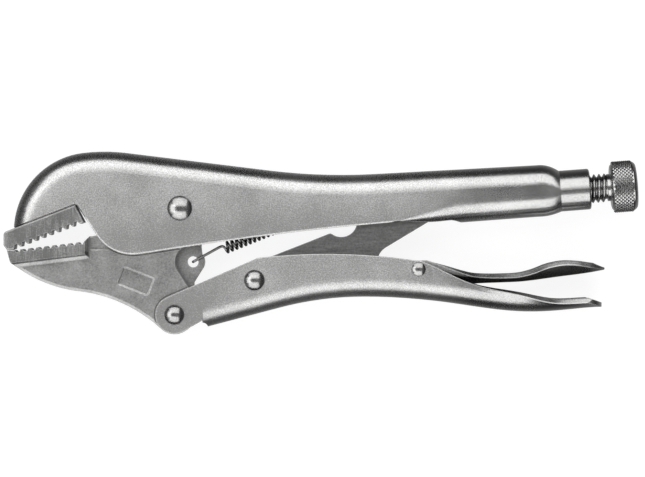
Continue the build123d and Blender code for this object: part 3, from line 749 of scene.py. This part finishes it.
def eased(stations, between):
    # a smooth run through the stations that never swings past them
    run = []
    for spot, (low, high) in enumerate(zip(stations, stations[1:])):
        before = stations[max(spot - 1, 0)]
        after = stations[min(spot + 2, len(stations) - 1)]
        for step in range(between):
            t = step / between
            mixed = []
            for a, b, c, d in zip(before, low, high, after):
                leave, arrive = slope(a, b, c), slope(b, c, d)
                way = 1 if c > b else -1
                mixed.append(
                    b * (1 + 2 * t) * (1 - t) ** 2
                    + c * t * t * (3 - 2 * t)
                    + way * leave * t * (1 - t) ** 2
                    - way * arrive * t * t * (1 - t)
                )
            run.append(mixed)
    return run + [list(stations[-1])]


def troughHalf(sizes, sheet, floor, half, lean, wall):
    # right half of a cross-section, from the middle of the floor out: (Z, Y) outside and inside
    bendSteps, wallSteps = sizes["bendSteps"], sizes["wallSteps"]
    turn = math.radians(90 - lean)
    radius = min(sizes["bend"], sizes["bendShare"] * wall / math.tan(turn / 2))
    tangent = radius * math.tan(turn / 2)
    flat = half - tangent
    points = [(0.0, floor, 0.0), (flat / 2, floor, 0.0)]
    for step in range(bendSteps + 1):
        angle = turn * step / bendSteps
        out, rise = radius * math.sin(angle), radius * (1 - math.cos(angle))
        points.append((flat + out, floor + rise, angle))
    for step in range(1, wallSteps + 1):
        reach = tangent + (wall - tangent) * step / wallSteps
        points.append((half + reach * math.cos(turn), floor + reach * math.sin(turn), turn))
    outside = [(z, y) for z, y, angle in points]
    inside = [(z - sheet * math.sin(angle), y + sheet * math.cos(angle)) for z, y, angle in points]
    return outside, inside


def troughMesh(name, sizes):
    shape = bmesh.new()
    rows = []
    for place, *section in eased(sizes["stations"], sizes["between"]):
        row = []
        sheet = sizes["sheet"] * min(1, (sizes["tip"] - place) / sizes["taper"])
        for half in troughHalf(sizes, sheet, *section):
            path = [(-z, y) for z, y in reversed(half[1:])] + half
            row.append([shape.verts.new((place * mm, y * mm, midPlane + z * mm)) for z, y in path])
        rows.append(row)
    for (lowOut, lowIn), (highOut, highIn) in zip(rows, rows[1:]):
        for low, high in ((lowOut, highOut), (lowIn, highIn)):
            for spot in range(len(low) - 1):
                shape.faces.new((low[spot], low[spot + 1], high[spot + 1], high[spot]))
        for spot in (0, -1):
            shape.faces.new((lowOut[spot], highOut[spot], highIn[spot], lowIn[spot]))
    for out, inner in (rows[0], rows[-1]):
        for spot in range(len(out) - 1):
            shape.faces.new((out[spot], out[spot + 1], inner[spot + 1], inner[spot]))
    bmesh.ops.remove_doubles(shape, verts=shape.verts, dist=sizes["merge"] * mm)
    bmesh.ops.recalc_face_normals(shape, faces=shape.faces)
    mesh = bpy.data.meshes.new(name)
    shape.to_mesh(mesh)
    shape.free()
    return mesh


def drilled(name, mesh, sizes):
    # a hole for the rivet, cut across the piece
    base = addObject(name + "Blank", mesh)
    radius, reach = sizes["hole"] * mm, sizes["drill"] * mm
    drill = turnedMesh(name + "Pin", [(-reach, radius), (reach, radius)], sizes["drillSides"])
    pin = addObject(name + "Pin", drill)
    x, y = sizes["pivot"]
    pin.data.transform(Matrix.Translation((x * mm, y * mm, midPlane)))
    cut = base.modifiers.new("hole", "BOOLEAN")
    cut.operation, cut.solver, cut.object = "DIFFERENCE", "EXACT", pin
    made = plainMesh(name, base, cut)
    bpy.data.objects.remove(pin)
    return addObject(name, made)


lever = drilled("pressedLever", troughMesh("leverBlank", leverSizes), leverSizes)
lever.data.materials.clear()
lever.data.materials.append(leverShadedPlate)
lever.data.shade_smooth()
lever.data.set_sharp_from_angle(angle=math.radians(leverSizes["sharp"]))
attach(lever, "lever")
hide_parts("release_lever")
print("lever:", len(lever.data.polygons), "faces")


# return spring: one wire, hooked through the jaw's tab and the handle's lug
springSizes = {"Wire Radius": 0.37 * mm, "Wire Sides": 12}
springShape = {  # in mm
    "start": (12.4, -11.0),  # where the winding starts
    "axis": (0.928486, 0.371368),
    "radius": 1.36,
    "pitch": 1.33,
    "turns": 20,
    "pointsPerTurn": 16,
    "tab": (3.5, -14.8),
    "lug": (44.107, 0.618),
    "tail": 2.2,
    "bend": 1.0,
    "near": 0.4,  # how far from a corner the points stand that round it
    "hookNear": 0.5,
    "straight": 2.0,  # and where the straight run starts
}


def springPath(shape):
    axis = Vector((*shape["axis"], 0))
    side = Vector((-axis.y, axis.x, 0))
    start = Vector((*shape["start"], 0))
    top = Vector((0, 0, shape["radius"]))
    tab = Vector((*shape["tab"], 0))
    lug = Vector((*shape["lug"], 0))
    near, hookNear, straight = shape["near"], shape["hookNear"], shape["straight"]
    perTurn = shape["pointsPerTurn"]
    # the spline runs inside its control points, so they stand out a little
    stand = shape["radius"] * 3 / (2 + math.cos(2 * math.pi / perTurn))
    coil = []
    for step in range(perTurn * shape["turns"] + 1):
        turn = 2 * math.pi * step / perTurn
        middle = start + axis * (shape["pitch"] * step / perTurn)
        upward = Vector((0, 0, stand * math.cos(turn)))
        coil.append(middle + upward - side * (stand * math.sin(turn)))
    frontCorner = coil[0] + side * shape["bend"]
    rearCorner = coil[-1] - side * shape["bend"]
    tabTop, lugTop = tab + top, lug + top
    frontWay = (frontCorner - tab - top).normalized()
    tail = Vector((0, 0, -shape["tail"]))
    below = Vector((0, 0, -near))
    front = [
        tab + tail,
        tab + tail * 0.5,
        tab,
        tabTop + below,
        tabTop + frontWay * hookNear,
        tabTop + frontWay * straight,
        frontCorner - frontWay * straight,
        frontCorner - frontWay * near,
    ]
    rear = [
        rearCorner + axis * near,
        rearCorner + axis * straight,
        lugTop - axis * straight,
        lugTop - axis * hookNear,
        lugTop + below,
        lug,
        lug + tail * 0.5,
        lug + tail,
    ]
    return [(point * mm) + Vector((0, 0, midPlane)) for point in front + coil + rear]


def wireTree(sizes):
    group, tree, given = nodeGroup("wireTree", sizes)
    ring = tree.add(
        "GeometryNodeCurvePrimitiveCircle",
        None,
        {"Resolution": given["Wire Sides"], "Radius": given["Wire Radius"]},
    )
    wire = tree.add(
        "GeometryNodeCurveToMesh",
        None,
        {"Curve": given["Geometry"], "Profile Curve": ring, "Fill Caps": True},
    )
    closeGroup(tree, wire, given["Finish"])
    return group


pathData = bpy.data.curves.new("springPath", "CURVE")
pathData.dimensions = "3D"
spline = pathData.splines.new("NURBS")
pathPoints = springPath(springShape)
spline.points.add(len(pathPoints) - 1)
for point, place in zip(spline.points, pathPoints):
    point.co = (*place, 1)
spline.order_u = 4
spline.use_endpoint_u = True
spline.resolution_u = 3
spring = grown(
    "coiledSpring",
    addObject("springPath", pathData),
    wireTree(springSizes),
    springSizes,
    springWire,
    Matrix.Identity(4),
)
spring.data.shade_smooth()
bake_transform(spring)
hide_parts("return_spring")
print("spring:", len(spring.data.polygons), "faces")


# a pale card to lie on, soft panels round it, and the camera straight above
stageLook = {"floorTone": 0.9, "floorSize": 6.0, "shadowShare": 0.2, "glow": 1.12}
floorMesh = bpy.data.meshes.new("floor")
shape = bmesh.new()
bmesh.ops.create_grid(shape, x_segments=1, y_segments=1, size=stageLook["floorSize"] / 2)
shape.to_mesh(floorMesh)
shape.free()
floor = addObject("floor", floorMesh)
floorFinish, floorTree = newMaterial("floorCard")
tone = stageLook["floorTone"]
card = floorTree.add("ShaderNodeBsdfDiffuse", None, {"Color": (tone, tone, tone, 1)})
glowing = floorTree.add(
    "ShaderNodeEmission", None, {"Color": (1, 1, 1, 1), "Strength": stageLook["glow"]}
)
lit = floorTree.add(
    "ShaderNodeMixShader", None, {0: stageLook["shadowShare"], 1: glowing, 2: card}
)
floorTree.add("ShaderNodeOutputMaterial", None, {"Surface": lit})
floorMesh.materials.append(floorFinish)
floor.visible_glossy = False  # the room below the horizon stands in for the card in the metal

roomLook = {
    "stops": [  # from straight down, past a dim horizon, to overhead, where the camera is
        (0.0, 0.42),
        (0.20, 0.26),
        (0.38, 0.13),
        (0.48, 0.06),
        (0.60, 0.06),
        (0.72, 0.12),
        (0.86, 0.27),
        (0.94, 0.27),
        (0.985, 0.15),
    ],
    "sideDim": 0.7,  # the room is darker across the tool than along it
    "lean": 12,  # and its glow stands over the jaws' side
}
world = bpy.data.worlds.new("room")
bpy.context.scene.world = world
world.use_nodes = True
world.node_tree.nodes.clear()
room = Tree(world.node_tree)
heading = room.add("ShaderNodeTexCoord", None, None, "Generated")
roomLean = math.radians(roomLook["lean"])
overhead = (-math.sin(roomLean), 0, math.cos(roomLean))
height = vectorMath(room, "DOT_PRODUCT", heading, overhead, "Value")
glow = room.add("ShaderNodeValToRGB", {"stops": roomLook["stops"]}, {"Fac": height * 0.5 + 0.5})
sideways = axisOf(room, heading, "Y")
dimmed = 1 - sideways * sideways * roomLook["sideDim"]
sky = room.add("ShaderNodeBackground", None, {"Color": glow, "Strength": dimmed})
room.add("ShaderNodeOutputWorld", None, {"Surface": sky})

panels = {  # degrees from overhead, compass direction, metres wide and tall, watts
    "backPanel": {"lean": 42, "toward": 92, "wide": 1.3, "tall": 0.76, "watts": 4.9},
    "frontPanel": {"lean": 45, "toward": 264, "wide": 1.2, "tall": 0.70, "watts": 4.1},
    "leftPanel": {"lean": 48, "toward": 180, "wide": 0.6, "tall": 0.4, "watts": 1.4},
}
panelAim = Vector((39 * mm, -9 * mm, midPlane))
panelDistance = 0.75
for panelName, panel in panels.items():
    lamp = bpy.data.lights.new(panelName, "AREA")
    lamp.shape = "RECTANGLE"
    lamp.size, lamp.size_y = panel["wide"], panel["tall"]
    lamp.energy = panel["watts"]
    lean, toward = math.radians(panel["lean"]), math.radians(panel["toward"])
    level = math.sin(lean)
    away = Vector((level * math.cos(toward), level * math.sin(toward), math.cos(lean)))
    stand = addObject(panelName, lamp)
    stand.location = panelAim + away * panelDistance
    stand.rotation_euler = away.to_track_quat("Z", "Y").to_euler()
    stand.visible_camera = False

cameraLook = {
    "lens": 240.0,
    "sensor": 36.0,
    "wide": 178.3 * mm,  # what the frame takes in at the middle plane
    "middle": (39.26 * mm, -8.35 * mm),
    "farthest": 20,
}
lensData = bpy.data.cameras.new("camera")
lensData.lens, lensData.sensor_width = cameraLook["lens"], cameraLook["sensor"]
lensData.clip_end = cameraLook["farthest"]
camera = addObject("camera", lensData)
distance = cameraLook["wide"] * cameraLook["lens"] / cameraLook["sensor"]
camera.location = (*cameraLook["middle"], midPlane + distance)
bpy.context.scene.camera = camera
bpy.context.scene.view_settings.view_transform = "Standard"
print("stage set, camera", round(distance, 3), "m above")
